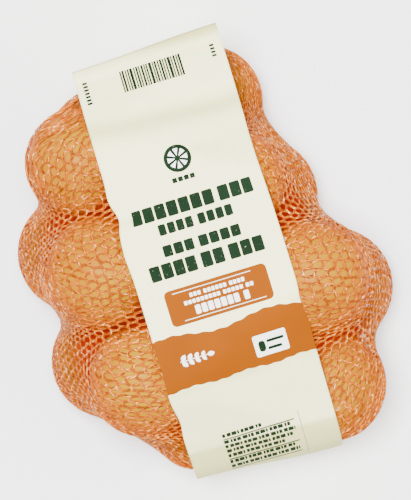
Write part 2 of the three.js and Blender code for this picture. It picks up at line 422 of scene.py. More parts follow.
def finer(reach):
    """Twice the rings and columns, by halving every step."""
    between = (reach + np.roll(reach, -1, 1)) / 2
    wide = np.stack([reach, between], 2).reshape(len(reach), -1)
    tall = np.empty((2 * len(wide) - 1, wide.shape[1]))
    tall[::2], tall[1::2] = wide, (wide[:-1] + wide[1:]) / 2
    return tall


start = np.full((COARSE_RINGS + 1, COARSE_COLUMNS), START_REACH)
start[0] = start[-1] = 1.0
coarse, _ = tighten(COARSE_RINGS, COARSE_COLUMNS, start, COARSE_PASSES)
_, taut = tighten(2 * COARSE_RINGS, 2 * COARSE_COLUMNS, finer(coarse), FINE_PASSES)
print("taut net", taut.shape, "from", taut.min((0, 1)).round(), "to", taut.max((0, 1)).round())

# %% [markdown]
# Three corrections make the tube ready for strands. Where the band passes over it, the net lies
# just under the film, so points that stick out of the loop are pressed back in. A real net has the
# same number of stitches in every ring and in every column and shares its stretch out, so the
# points are spaced evenly, first round each ring and then along each column, where the head and
# the foot are drawn longer. At last, points beside the film that were moved into an orange are
# lifted off it again. The film's own dips and ripples come first, because the net lies under them.

# %% The film's dips and ripples
FILM_DIPS = {  # how far it stands out, its place along the bag, its lean across and its width
    "head": (-2.0, 85.5, 0.0, 8.5),
    "left_gap": (-2.6, 34.0, 0.0, 7.0),
    "right_gap": (-1.2, -38.0, -0.2, 8.0),
    "foot": (0.9, -117.0, -0.16, 9.0),
}
RIPPLES = (  # height, one wave along and across, the other wave across and along, and its start
    (0.20, 0.21, 0.05, 0.12, 0.03, 1.0),
    (0.09, 0.55, -0.16, 0.31, 0.0, 0.4),
)


def hill(value, middle, width):
    """A smooth hill of height 1."""
    return np.exp(-((value - middle) / width) ** 2)


def rise(value, start, length):
    """0 up to the start, and 1 from a length further on."""
    return smoothstep((value - start) / length)


def film_dip(place, u, y):
    far, middle, lean, width = FILM_DIPS[place]
    return far * hill(y, middle + lean * u, width)


def film_relief(u, y):
    """How far the film stands out (or in, below 0) at u across and y along, on the side seen."""
    out = film_dip("head", u, y) * (1 - 0.5 * rise(np.abs(u), 28, 15))
    out += film_dip("left_gap", u, y) * rise(-u, -4, 44) ** 1.5
    out += film_dip("right_gap", u, y) * rise(u, -4, 44) ** 1.5
    out += film_dip("foot", u, y)
    for height, along, across, across_too, along_too, begin in RIPPLES:
        wave = height * np.sin(y * along + u * across)
        out += wave * np.sin(u * across_too + y * along_too + begin)
    return out * rise(-y, -113, 14) * rise(y, -136, 12)


print("the film dips", round(-float(film_relief(-46.0, 34.0)), 1), "mm at its left edge")

# %% Under the band
UNDER_FILM = 0.9
EDGE_EASE = 4.0
SEEN_SIDE = 60.0


def band_share(x):
    """0 at the band's left edge and 1 at its right edge, eased as the outlines blend."""
    return smoothstep(np.asarray(x) / BAND_WIDTH + 0.5)


def press_under_band(points):
    """Moves points that stick out of the film to just under it."""
    flat = points.reshape(-1, 3).copy()
    near = np.abs(flat[:, 0]) < BAND_WIDTH / 2 + EDGE_EASE
    chosen = flat[near]
    share = band_share(chosen[:, 0])[:, None]
    limit = mix(reach_left[None], reach_right[None], share) - LOOP_THICKNESS - UNDER_FILM
    beyond = np.abs(chosen[:, 0]) - BAND_WIDTH / 2
    eased = (chosen[:, 2] > SEEN_SIDE) * smoothstep(1 - beyond / EDGE_EASE)
    dips = np.maximum(-film_relief(chosen[:, 0], chosen[:, 1]), 0) * eased
    limit = limit + (np.maximum(beyond, 0) - dips)[:, None]
    for _ in range(3):
        outside = chosen[:, 1:] @ FACING.T - limit
        worst = outside.argmax(1)
        depth = np.maximum(outside.max(1), 0)
        chosen[:, 1:] -= FACING[worst] * depth[:, None]
    flat[near] = chosen
    return flat.reshape(points.shape)


taut = press_under_band(taut)
print("pressed under the film, the net is", round(taut[..., 2].max(), 1), "mm high")

# %% Evenly spaced
SKIN_ROUND, SKIN_LONG = 420, 300
HEAD_DRAW, UPPER_HEAD_DRAW, FOOT_DRAW = 0.25, 0.7, 0.4
NET_GAP = 0.2


def spread_out(line, steps, count):
    """Points along a line, evenly by the weighted length of its steps."""
    walked = np.concatenate([[0], np.cumsum(steps)])
    wanted = np.linspace(0, walked[-1], count + 1)
    return np.stack([np.interp(wanted, walked, line[:, k]) for k in range(3)], 1)


def even_ring(points):
    """A ring's points, evenly spaced."""
    line = np.vstack([points, points[:1]])
    return spread_out(line, np.linalg.norm(np.diff(line, axis=0), axis=1), SKIN_ROUND)


def even_column(line):
    """A column's points, drawn further apart at the head and the foot."""
    steps = np.linalg.norm(np.diff(line, axis=0), axis=1)
    y, z = (line[:-1, 1:] + line[1:, 1:]).T / 2
    at_head = mix(HEAD_DRAW, UPPER_HEAD_DRAW, rise(z, 55, 45))
    drawn = at_head * rise(y, 70, 28) + FOOT_DRAW * rise(-y, 100, 20)
    return spread_out(line, steps * (1 - drawn), SKIN_LONG)


def off_the_fruit(points):
    """Lifts points beside the film back out of the fruit."""
    lifted = points.copy()
    for centre, radius in zip(centres, radii):
        away = lifted - centre
        distance = np.linalg.norm(away, axis=-1, keepdims=True)
        beside = rise(np.abs(lifted[..., :1]), BAND_WIDTH / 2 - 1, 2)
        lifted += away / distance * np.maximum(radius + NET_GAP - distance, 0) * beside
    return lifted


quarter = taut.shape[1] // 4
rings = np.stack([even_ring(ring) for ring in np.roll(taut, -quarter, 1)])
skin = np.stack([even_column(rings[:, i]) for i in range(SKIN_ROUND + 1)], 1)
skin = off_the_fruit(press_under_band(skin))
column_lengths = np.linalg.norm(np.diff(skin, axis=0), axis=-1).sum(0)
print("skin", skin.shape, "longest column", round(column_lengths.max()), "mm")

# %% [markdown]
# The net's cells are hexagons that point round the bag: a short bar between two cells of a column,
# and two slanted strands to the next column, which sits half a cell lower. Every strand is three
# filaments of 0.7 mm with a half twist, about 2.2 mm wide together, because that is what gives the
# net its sparkle. The filaments are built straight from arrays as thin three-sided tubes. Strands
# hidden well under the band are left out, and so are some at the head's left corner, where the net
# is torn thin.

# %% Sampling the skin
COLUMN_COUNT, CELL_ROWS = 92, 58
BAG_MIDDLE = np.array([0, 0, 60])
rng = np.random.default_rng(14)


def skin_at(column, row):
    """The skin's point at a place counted in columns round and cells along."""
    across = (np.asarray(column) / COLUMN_COUNT % 1.0) * SKIN_ROUND
    along = np.clip(np.asarray(row) / CELL_ROWS, 0, 1) * SKIN_LONG
    i, j = np.minimum(across.astype(int), SKIN_ROUND - 1), np.minimum(along.astype(int), SKIN_LONG - 1)
    a, b = (across - i)[..., None], (along - j)[..., None]
    near = skin[j, i] * (1 - a) + skin[j, i + 1] * a
    far = skin[j + 1, i] * (1 - a) + skin[j + 1, i + 1] * a
    return near * (1 - b) + far * b


def skin_frame(column, row, span=0.3):
    """The skin's point and the direction square to it."""
    point = skin_at(column, row)
    across = skin_at(column + span, row) - skin_at(column - span, row)
    along = skin_at(column, row + span) - skin_at(column, row - span)
    out = np.cross(across, along)
    out /= np.linalg.norm(out, axis=-1, keepdims=True) + 1e-9
    return point, out


probe, out = skin_frame(np.array([COLUMN_COUNT / 4]), np.array([CELL_ROWS / 2]))
OUTWARD = 1.0 if (out[0] * (probe[0] - BAG_MIDDLE)).sum() > 0 else -1.0
print("skin faces", OUTWARD)

# %% Which strands show
HIDDEN_DEPTH, HIDDEN_DEPTH_TOP = 8.0, 30.0
KNOT_JITTER = 0.08
TORN_X, TORN_Y, TORN_SHARE = -44.0, 98.0, 0.8
THIN_Y, THIN_Z, THIN_SHARE = 84.0, 95.0, 0.2
FRUIT_MARGIN = 0.3
OFF_FRUIT_THINNING, HEAD_THINNING = 0.3, 0.35


def net_edges():
    """Start and end of every strand, counted in columns and cells."""
    column, row = np.meshgrid(np.arange(COLUMN_COUNT), np.arange(CELL_ROWS), indexing="ij")
    column, row = column.ravel().astype(float), row.ravel() + 0.5 * (column.ravel() % 2)
    bar = np.stack([column - 1 / 3, row + 0.5, column + 1 / 3, row + 0.5], 1)
    down = np.stack([column + 1 / 3, row + 0.5, column + 2 / 3, row + 1.0], 1)
    up = np.stack([column + 1 / 3, row + 0.5, column + 2 / 3, row], 1)
    edges = np.concatenate([bar, down, up])
    return edges[(edges[:, 1] <= CELL_ROWS) & (edges[:, 3] <= CELL_ROWS)]


def shaken(column, row):
    """Moves a knot a little, the same way for each strand that meets there."""
    a = np.sin(column * 12.9898 + row * 78.233) * 43758.5453
    b = np.sin(column * 39.3468 + row * 11.135) * 24634.6345
    slow = 0.22 * np.sin(column * 0.31 + row * 0.23) + 0.18 * np.sin(row * 0.41 - column * 0.17)
    return (column + KNOT_JITTER * (2 * (a % 1) - 1) + 0.5 * slow,
            row + KNOT_JITTER * (2 * (b % 1) - 1) + slow)


def in_sight(middles):
    """Which strands are neither well under the film nor torn out near the head."""
    x, y, z = middles.T
    hidden = np.abs(x) < BAND_WIDTH / 2 - np.where(z > SEEN_SIDE, HIDDEN_DEPTH_TOP, HIDDEN_DEPTH)
    thin_here = THIN_SHARE * (x < TORN_X) * (z > THIN_Z) * rise(y, THIN_Y, 12)
    from_fruit = np.min([np.hypot(x - c[0], y - c[1]) - r for c, r in zip(centres, radii)], 0)
    torn = (x < TORN_X) & (y > TORN_Y) & (from_fruit > FRUIT_MARGIN)
    dropped = rng.random(len(middles)) < np.where(torn, TORN_SHARE, thin_here)
    return ~hidden & ~dropped


def strand_girth(middles):
    """1 where a strand lies on fruit, and less where it is stretched over a gap or at the head."""
    from_fruit = np.min([np.linalg.norm(middles - c, axis=1) - r for c, r in zip(centres, radii)], 0)
    over_gap = 1 - OFF_FRUIT_THINNING * rise(from_fruit, 3, 8)
    return over_gap * (1 - HEAD_THINNING * rise(middles[:, 1], 76, 16))


edges = net_edges()
wrapped = np.round(edges[:, [0, 2]] % COLUMN_COUNT, 3)
from_column, from_row = shaken(wrapped[:, 0], edges[:, 1])
to_column, to_row = shaken(wrapped[:, 1], edges[:, 3])
crossing = np.round((to_column - from_column) / COLUMN_COUNT) * COLUMN_COUNT
to_column = to_column - crossing
middles = skin_at((from_column + to_column) / 2, (from_row + to_row) / 2)
shown = in_sight(middles)
strand_ends = np.stack([from_column, from_row, to_column, to_row])[:, shown]
girths = strand_girth(middles[shown])
print(len(edges), "strands,", int(shown.sum()), "of them in sight")

# %% The strands as twisted filaments
FILAMENTS = 3
FILAMENT_RADIUS = 0.35
FILAMENT_SPREAD = 0.76
FILAMENT_LIFT = 0.26
STRAND_STEPS = 3
TUBE_SIDES = 3
TWIST_SHADE, TONE_DROP = 0.35, 0.1
TABLE_GAP = 0.02


def strand_tubes(c0, r0, c1, r1, girth):
    """Vertices and faces of the twisted filaments of each strand, and the vertices' tones with painted
    twist shade.
    """
    t = np.linspace(0, 1, STRAND_STEPS + 1)
    column = c0[:, None] + (c1 - c0)[:, None] * t
    row = r0[:, None] + (r1 - r0)[:, None] * t
    point, normal = skin_frame(column, row)
    normal = normal * OUTWARD
    run = np.gradient(point, axis=1)
    run /= np.linalg.norm(run, axis=-1, keepdims=True) + 1e-9
    side = np.cross(normal, run)
    vertices, tones_and_shades = [], []
    turn = rng.uniform(0, np.pi, len(c0))[:, None] + np.pi * t * rng.choice([-1, 1], len(c0))[:, None]
    spin = np.linspace(0, 2 * np.pi, TUBE_SIDES, endpoint=False)
    for strand in 2 * np.pi * np.arange(FILAMENTS) / FILAMENTS:
        swing = (np.cos(turn + strand) * FILAMENT_SPREAD)[..., None] * side
        lift = (np.sin(turn + strand) * FILAMENT_LIFT + FILAMENT_LIFT)[..., None] * normal
        line = point + swing + lift
        ring = np.cos(spin)[:, None] * side[..., None, :] + np.sin(spin)[:, None] * normal[..., None, :]
        tube = FILAMENT_RADIUS * girth[:, None, None, None] * ring
        vertices.append((line[..., None, :] + tube).reshape(-1, 3))
        # Painted light: a filament's tone rises where its twist lifts it on top and falls where it passes
        # under.
        tone_and_shade = rng.random((len(c0), 1)) + TWIST_SHADE * np.sin(turn + strand) - TONE_DROP
        tones_and_shades.append(np.repeat(tone_and_shade.clip(0, 1), TUBE_SIDES, axis=1).reshape(-1))
    per_line = (STRAND_STEPS + 1) * TUBE_SIDES
    step, k = np.meshgrid(np.arange(STRAND_STEPS), np.arange(TUBE_SIDES), indexing="ij")
    a = step * TUBE_SIDES + k
    b = step * TUBE_SIDES + (k + 1) % TUBE_SIDES
    quad = np.stack([a, b, b + TUBE_SIDES, a + TUBE_SIDES], -1).reshape(-1, 4)
    count = FILAMENTS * len(c0)
    faces = (quad[None] + per_line * np.arange(count)[:, None, None]).reshape(-1, 4)
    return np.concatenate(vertices), faces, np.concatenate(tones_and_shades)


# %% [markdown]
# The net's plastic is a bright salmon orange, a little see-through and glossy. Its colour shifts
# from filament to filament and slightly from stretch to stretch, and a share of light passes
# through, so that strands stacked on each other don't go dark. The palest tone is a painted
# highlight, and each filament is painted lighter where its twist lifts it on top and darker where
# it passes under.

# %% The net's material and its pieces
TONE_SHARE, PATCH_SHARE = 0.62, 0.38
# The palest stop is a painted highlight; the tones also carry the twist's painted shade.
NET_TONES_AND_HIGHLIGHTS = [(0.10, linear(0.17, 0.020, 0.0001)), (0.40, linear(0.40, 0.078, 0.0002)),
             (0.66, linear(0.58, 0.135, 0.001)), (0.86, linear(0.90, 0.34, 0.05)),
             (0.97, linear(1.0, 0.66, 0.42))]


def net_plastic():
    material, tree, shader = start_material("net_plastic", 0.30, 0.06)
    patches = tree.nodes.new("ShaderNodeMapRange")
    patches.inputs["From Min"].default_value = 0.3
    patches.inputs["From Max"].default_value = 0.7
    patches.inputs["To Max"].default_value = PATCH_SHARE
    tree.links.new(noise(tree, 420, 2), patches.inputs["Value"])
    total = worked_out(tree, "MULTIPLY_ADD", value_of(tree, "tone_and_shade"), TONE_SHARE, patches.outputs["Result"])
    tree.links.new(ramp(tree, total, NET_TONES_AND_HIGHLIGHTS), shader.inputs["Base Color"])
    shader.inputs["Subsurface Weight"].default_value = 0.2
    shader.inputs["Subsurface Radius"].default_value = (1.0, 0.45, 0.2)
    shader.inputs["Subsurface Scale"].default_value = 0.8 * MM
    return material


plastic = net_plastic()
quarter_of = np.digitize(strand_ends[1], CELL_ROWS * np.array([0.25, 0.5, 0.75]))
for part, name in enumerate(("net_head", "net_upper", "net_lower", "net_foot")):
    chosen = quarter_of == part
    points, faces, tones_and_shades = strand_tubes(*strand_ends[:, chosen], girths[chosen])
    points[:, 2] = np.maximum(points[:, 2], TABLE_GAP)
    net_piece = piece_from(name, points, faces, plastic)
    give_values(net_piece, "tone_and_shade", tones_and_shades)
    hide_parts("net")
    print(name, int(chosen.sum()), "strands,", 2 * len(faces), "triangles")

# %% [markdown]
# An orange is a slightly flattened ball with a dimple at the stem, faint ridges running into it
# and hundreds of oil glands. The big shape is in the mesh, because it shows in the outline; the
# glands are under a millimetre and go into the bump. Each orange gets its own turn and its own
# lumps, so no two look alike.

# %% The shape of an orange
BALL_ROUND, BALL_TALL = 72, 48
FLATNESS = 0.012
STEM_DIMPLE, BASE_DIMPLE = (0.055, 0.16), (0.018, 0.12)  # depth and width, as shares of the radius
LUMP, LUMP_COUNT = 0.0035, 6


def orange_ball(centre, radius, seed):
    """One orange with a random tilt, soft lumps and a stem dimple."""
    draw = np.random.default_rng(seed)
    theta = np.linspace(0, np.pi, BALL_TALL + 1)[1:-1]
    phi = np.linspace(0, 2 * np.pi, BALL_ROUND, endpoint=False)
    down, turn = np.meshgrid(theta, phi, indexing="ij")
    unit = np.stack([np.sin(down) * np.cos(turn), np.sin(down) * np.sin(turn), np.cos(down)], -1)
    unit = np.vstack([unit.reshape(-1, 3), [0, 0, 1], [0, 0, -1]])
    polar = np.arccos(unit[:, 2].clip(-1, 1))
    around = np.arctan2(unit[:, 1], unit[:, 0])
    swell = 1 - FLATNESS * np.cos(2 * polar)
    swell -= STEM_DIMPLE[0] * hill(polar, 0, STEM_DIMPLE[1]) * (1 + 0.25 * np.cos(7 * around))
    swell -= BASE_DIMPLE[0] * hill(polar, np.pi, BASE_DIMPLE[1])
    for _ in range(LUMP_COUNT):
        way = draw.normal(size=3)
        swell += LUMP * np.sin(unit @ (way * 2.2) + draw.uniform(0, 6))
    spin, _ = np.linalg.qr(draw.normal(size=(3, 3)))
    points = (unit * np.minimum(swell, 1.0)[:, None]) @ spin.T * radius + centre
    rows, last = BALL_TALL - 1, len(points)
    faces = []
    for j in range(rows - 1):
        for i in range(BALL_ROUND):
            n = (i + 1) % BALL_ROUND
            faces.append((j * BALL_ROUND + i, (j + 1) * BALL_ROUND + i,
                          (j + 1) * BALL_ROUND + n, j * BALL_ROUND + n))
    for i in range(BALL_ROUND):
        n = (i + 1) % BALL_ROUND
        faces.append((i, n, last - 2))
        faces.append(((rows - 1) * BALL_ROUND + n, (rows - 1) * BALL_ROUND + i, last - 1))
    if np.linalg.det(spin) < 0:
        faces = [face[::-1] for face in faces]
    return points, faces


print("an orange has", len(orange_ball(centres[0], radii[0], 0)[1]), "faces")

# %% [markdown]
# Seen through the net the peel is yellow on top. Down its sides it is painted redder, and in the
# gaps a deep red painted shade, where light arrives only after it has bounced from orange to orange.
# Two numbers stored on the mesh say where the painted shade goes: how steep the peel is, and how far
# it is sunk below the net. A faint red glow in the gaps stands in for that bounced light.

# %% The peel
BLUSH = [(0.30, linear(0.34, 0.125, 0.0001)), (0.52, linear(0.36, 0.155, 0.0001)),
         (0.72, linear(0.38, 0.19, 0.0001))]
# Painted light and shade: redder peel down the sides, darker peel where it is sunk, deep red shade in the
# gaps, and a red glow there for bounced light.
SIDE_SHADE_PEEL = linear(0.55, 0.130, 0.0001)
SUNK_SHADE_PEEL, DEEP_SHADE_PEEL = linear(0.36, 0.075, 0.0001), linear(0.22, 0.012, 0.0001)
GLOW, GLOW_STRENGTH = linear(1.0, 0.035, 0.0), 0.22


def peel():
    material, tree, shader = start_material("orange_peel", 0.34, 0.04)
    # The base colour takes painted shade from the steep and sunk numbers.
    body = mixed(tree, value_of(tree, "steep"), ramp(tree, noise(tree, 28, 3), BLUSH), SIDE_SHADE_PEEL)
    sunk = value_of(tree, "sunk")
    body = mixed(tree, ramp(tree, sunk, [(0.10, BLACK), (0.40, WHITE)]), body, SUNK_SHADE_PEEL)
    deep = ramp(tree, sunk, [(0.35, BLACK), (0.80, WHITE)])
    body = mixed(tree, deep, body, DEEP_SHADE_PEEL)
    tree.links.new(body, shader.inputs["Base Color"])
    shader.inputs["Emission Color"].default_value = GLOW
    glow = worked_out(tree, "MULTIPLY", deep, GLOW_STRENGTH)
    tree.links.new(glow, shader.inputs["Emission Strength"])
    coords = tree.nodes.new("ShaderNodeTexCoord")
    glands = tree.nodes.new("ShaderNodeTexVoronoi")
    glands.inputs["Scale"].default_value = 620
    glands.inputs["Randomness"].default_value = 0.9
    tree.links.new(coords.outputs["Object"], glands.inputs["Vector"])
    pores = ramp(tree, glands.outputs["Distance"], [(0.0, BLACK), (0.45, WHITE)])
    fine = bump(tree, pores, 0.55, 0.25)
    dented = bump(tree, noise(tree, 150, 2), 0.35, 0.5, fine)
    tree.links.new(dented, shader.inputs["Normal"])
    shader.inputs["Subsurface Weight"].default_value = 0.15
    shader.inputs["Subsurface Radius"].default_value = (1.0, 0.35, 0.05)
    shader.inputs["Subsurface Scale"].default_value = 2.0 * MM
    return material


# %% The oranges in the net
PEEL_INSET = 0.4
FIRST_SEED = 40
SUNK_FROM, SUNK_TO = 2.0, 13.0
STEEP_FROM, STEEP_SPAN = 0.85, 0.6

all_points, all_faces, so_far = [], [], 0
for number, (centre, radius) in enumerate(zip(centres, radii)):
    points, faces = orange_ball(centre, radius - PEEL_INSET, FIRST_SEED + number)
    all_points.append(points)
    all_faces += [tuple(v + so_far for v in face) for face in faces]
    so_far += len(points)
every = np.concatenate(all_points)
oranges = piece_from("oranges", every, all_faces, peel())
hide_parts("net")
owner = np.repeat(np.arange(len(centres)), len(points))
near_net = skin[::2, ::2].reshape(-1, 3)
finder = KDTree(len(near_net))
for k, place in enumerate(near_net):
    finder.insert(place, k)
finder.balance()
below = np.array([finder.find(place)[2] for place in every])
# How far each point is sunk below the net and how steep it is, for the painted shade.
give_values(oranges, "sunk", (below - SUNK_FROM) / (SUNK_TO - SUNK_FROM))
up = (every[:, 2] - centres[owner, 2]) / radii[owner]
give_values(oranges, "steep", smoothstep((STEEP_FROM - up) / STEEP_SPAN))
print("oranges", len(all_faces), "faces")

# %% [markdown]
# The film is a thin strip: from the edge of the welded header over the top of the bag, round the
# foot, under the bag and back up to the header. Its surface is a function of two lengths, how far
# across and how far along, so that the print can be laid on it in real sizes. The dips made
# above, a rolled header edge and edges that wander a little keep it from looking like sheet metal.

# %% The film's side views
FILM_ROWS = 400
FILM_STATIONS = 62
HEADER_GAP = 0.35
HEADER_STEPS = 9
HEADER_ROLL, ROLL_POWER = 3.0, 2.2
ROOT_TRIM = 2


def film_strip(share):
    """The strip's side view at one place across the band, from header edge to header edge."""
    loop = mix(loop_left, loop_right, share)
    root_y = mix(HEADER_ROOT_Y["left"], HEADER_ROOT_Y["right"], share)
    edge_y = mix(HEADER_EDGE_Y["left"], HEADER_EDGE_Y["right"], share)
    first = int(np.argmin(np.hypot(loop[:, 0] - root_y, loop[:, 1] - HEADER_Z)))
    ordered = np.roll(loop, -first, 0)
    if ordered[OUTLINE_STEPS // 4, 1] < HEADER_Z:
        ordered = ordered[::-1]
    out = np.linspace(1, 0, HEADER_STEPS)[:, None]
    roll = HEADER_ROLL * out ** ROLL_POWER
    upper = np.hstack([mix(root_y, edge_y, out), HEADER_Z + HEADER_GAP - roll])
    lower = np.hstack([mix(root_y, edge_y, out), HEADER_Z - HEADER_GAP - roll])[::-1]
    return np.vstack([upper, ordered[ROOT_TRIM:-ROOT_TRIM], lower])


def even_strip(line, count):
    """A side view's points, evenly spaced, and its length."""
    walked = np.concatenate([[0], np.cumsum(np.hypot(*np.diff(line, axis=0).T))])
    wanted = np.linspace(0, walked[-1], count + 1)
    return np.stack([np.interp(wanted, walked, line[:, k]) for k in range(2)], 1), walked[-1]


stations = np.linspace(-BAND_WIDTH / 2, BAND_WIDTH / 2, FILM_STATIONS + 1)
strips, lengths = zip(*[even_strip(film_strip(float(band_share(x))), FILM_ROWS) for x in stations])
strips = np.array(strips)
for _ in range(3):
    strips[:, 1:-1] = (strips[:, :-2] + 2 * strips[:, 1:-1] + strips[:, 2:]) / 4
FILM_LENGTH = float(np.mean(lengths))
FOOT_ROW = int(strips[FILM_STATIONS // 2, :, 0].argmin())
print("film strip", round(FILM_LENGTH), "mm long, the foot is row", FOOT_ROW)

# %% The film's sheet, with its dips and wandering edges
EDGE_WAVES = {  # how far across, to the right above 0, the place along and the width
    "left": ((2.0, 32.5, 6), (-0.9, 46, 6), (-1.0, 10, 11), (1.3, -96, 7), (-0.6, -78, 8)),
    "right": ((-1.2, 50, 28), (-1.0, -45, 7), (0.5, -62, 8)),
}
EDGE_ZONE, EDGE_ZONE_WIDTH = 28, 18


def edge_shift(u, y):
    """How far the film's edges wander across, in millimetres."""
    left, right = (sum(far * hill(y, middle, width) for far, middle, width in EDGE_WAVES[side])
                   for side in ("left", "right"))
    return left * rise(-u, EDGE_ZONE, EDGE_ZONE_WIDTH) + right * rise(u, EDGE_ZONE, EDGE_ZONE_WIDTH)


def sheet_normals(points):
    """The directions out of the film, which is seen from above on its first stretch."""
    out = np.cross(np.gradient(points, axis=1), np.gradient(points, axis=0))
    out /= np.linalg.norm(out, axis=-1, keepdims=True) + 1e-9
    return out if out[FILM_STATIONS // 2, FILM_ROWS // 5, 2] > 0 else -out


across = np.broadcast_to(stations[:, None, None], strips.shape[:2] + (1,))
sheet = np.concatenate([across, strips], -1)
on_top = (np.arange(FILM_ROWS + 1) <= FOOT_ROW)[None, :]
relief = film_relief(sheet[..., 0], sheet[..., 1]) * on_top
shift = edge_shift(sheet[..., 0], sheet[..., 1]) * on_top
sheet = sheet + sheet_normals(sheet) * relief[..., None]
sheet[..., 0] += shift
sheet[..., 2] = np.maximum(sheet[..., 2], TABLE_GAP)
sheet_out = sheet_normals(sheet)
print("the film's edges wander up to", round(float(np.abs(shift).max()), 1), "mm")

# %% Places on the film
FLAT_TO, FOLD_RATE = -133.0, 2.2


def film_point(u, s, lift=0.0):
    """A point on the film, u across from the middle and s along from the header's edge."""
    a = np.clip((np.asarray(u) / BAND_WIDTH + 0.5) * FILM_STATIONS, 0, FILM_STATIONS)
    b = np.clip(np.asarray(s) / FILM_LENGTH * FILM_ROWS, 0, FILM_ROWS)
    i, j = np.minimum(a.astype(int), FILM_STATIONS - 1), np.minimum(b.astype(int), FILM_ROWS - 1)
    fa, fb = (a - i)[..., None], (b - j)[..., None]
    places = []
    for grid in (sheet, sheet_out):
        near = grid[i, j] * (1 - fb) + grid[i, j + 1] * fb
        far = grid[i + 1, j] * (1 - fb) + grid[i + 1, j + 1] * fb
        places.append(near * (1 - fa) + far * fa)
    return places[0] + places[1] * lift


def along_at(u, y):
    """How far along the film a print at u across meets the height y in the flat view."""
    u, y = np.asarray(u, float), np.asarray(y, float)
    rows = np.linspace(0, FILM_LENGTH, FILM_ROWS + 1)[:FOOT_ROW]
    a = np.clip((u / BAND_WIDTH + 0.5) * FILM_STATIONS, 0, FILM_STATIONS)
    i = np.minimum(a.astype(int), FILM_STATIONS - 1)
    along = np.empty(len(u))
    for k in range(len(u)):
        line = mix(strips[i[k], :FOOT_ROW, 0], strips[i[k] + 1, :FOOT_ROW, 0], a[k] - i[k])
        along[k] = np.interp(-max(y[k], FLAT_TO), -line, rows) + FOLD_RATE * max(FLAT_TO - y[k], 0)
    return along


print("film at the middle stands", film_point(0.0, 140.0).round(1))

# %% [markdown]
# The film is soft cream plastic with a dull sheen, and each ink is a thin layer of the same. So one
# material serves both: a colour with faint clouds and fine creases, and for the big ink a few bare
# specks, as on a cheap print. On the film itself a stored number, the lie, says how squarely a
# place faces up, and painted shade darkens what turns away. The lie also carries the painted shade
# of the crease at the foot, the soft strip near the head and the header's rolled edge.

# %% The film's material
def printed_film(name, colour, colour_dark, specks=None, painted_shade=None):
    """Film or ink in a colour with soft clouds, darkened with painted shade by the lie, and bare at specks.
    """
    material, tree, shader = start_material(name, 0.6, 0.02)
    body = ramp(tree, noise(tree, 22, 2), [(0.35, colour_dark), (0.65, colour)])
    # Painted shade: where given, the colour is multiplied darker by the film's lie.
    if painted_shade is not None:
        body = mixed(tree, 1.0, body, ramp(tree, value_of(tree, "lie"), painted_shade), "MULTIPLY")
    if specks is not None:
        bare = ramp(tree, noise(tree, 900, 5), [(0.69, BLACK), (0.73, WHITE)])
        body = mixed(tree, bare, body, specks)
    tree.links.new(body, shader.inputs["Base Color"])
    creases = bump(tree, noise(tree, 70, 4), 0.15, 0.6)
    tree.links.new(creases, shader.inputs["Normal"])
    return material


# Painted shade: the film's colour is multiplied darker where the lie is low.
TURNED_AWAY_SHADE = [(0.35, linear(0.30, 0.28, 0.14)), (0.80, linear(0.62, 0.60, 0.44)), (0.99, WHITE)]
cream = printed_film("cream_film", linear(0.96, 0.94, 0.52), linear(0.94, 0.92, 0.50), painted_shade=TURNED_AWAY_SHADE)
print("made", cream.name)

# %% The film's mesh
FILM_THICKNESS = 0.2
FIELD_TOP, FIELD_BOTTOM = -45.5, -76.5
# Painted shade levels of the lie: the crease at the foot, the strip near the head and the rolled header
# edge.
CREASE_Y, CREASE_SLOPE, CREASE_WIDTH = -118.4, 0.03, 3.0
ABOVE_CREASE, BELOW_CREASE, NEAR_HEAD = 0.955, 0.83, 0.99
STRIP_Y, STRIP_SLOPE, STRIP_WIDTH, STRIP_SHADE = 84, 0.066, 6.5, 0.14
ROLL_Y, ROLL_SHADE_LEFT, ROLL_SHADE_ADDED = 121, 0.09, 0.13


def lie_of(points, outward):
    """Painted shade for each point of the film: how squarely it faces up, with the shades of its folds."""
    x, y = points[..., 0], points[..., 1]
    lie = np.where(on_top, outward[..., 2], 1.0).clip(0, 1)
    to_crease = CREASE_Y - CREASE_SLOPE * x - y
    foot = mix(ABOVE_CREASE, BELOW_CREASE, smoothstep(to_crease / CREASE_WIDTH + 0.5))
    lie = mix(lie, foot, rise(-y, -FIELD_BOTTOM, 6) * on_top)
    strip = STRIP_SHADE * hill(y, STRIP_Y - STRIP_SLOPE * x, STRIP_WIDTH)
    rolled = rise(y, ROLL_Y, 9) * (ROLL_SHADE_LEFT + ROLL_SHADE_ADDED * smoothstep(x / 60 + 0.5))
    return mix(lie, NEAR_HEAD - strip - rolled, rise(y, 58, 10) * on_top)


i, j = np.meshgrid(np.arange(FILM_STATIONS), np.arange(FILM_ROWS), indexing="ij")
corner = i * (FILM_ROWS + 1) + j
film_faces = np.stack([corner, corner + 1, corner + FILM_ROWS + 2, corner + FILM_ROWS + 1], -1)
film_faces = film_faces.reshape(-1, 4)
film = piece_from("film_band", sheet.reshape(-1, 3), film_faces, cream)
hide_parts("label_band")
seen_face = FILM_STATIONS // 2 * FILM_ROWS + FILM_ROWS // 5
if film.data.polygons[seen_face].normal.z < 0:
    film.data.flip_normals()
# The lie is the film's painted shade.
give_values(film, "lie", lie_of(sheet, sheet_out))
thick = film.modifiers.new("thickness", "SOLIDIFY")
thick.thickness = FILM_THICKNESS * MM
thick.offset = -1
print("film", len(film_faces), "faces")

# %% [markdown]
# The print is laid on as thin inked patches, each cut from a flat outline in millimetres and
# pressed onto the film. That keeps every edge sharp at any size, where a texture would blur. The
# patches are plain fields and simple shapes: rows of blocks, a striped patch, a citrus slice for a
# badge, a plaque, a wide orange field with a wavy edge, and rows of small bars between thin rules.
# The film's side seam is a thin shaded line.

# %% A patch of ink
INK_LIFT = 0.08
PATCH_STEP = 2.0


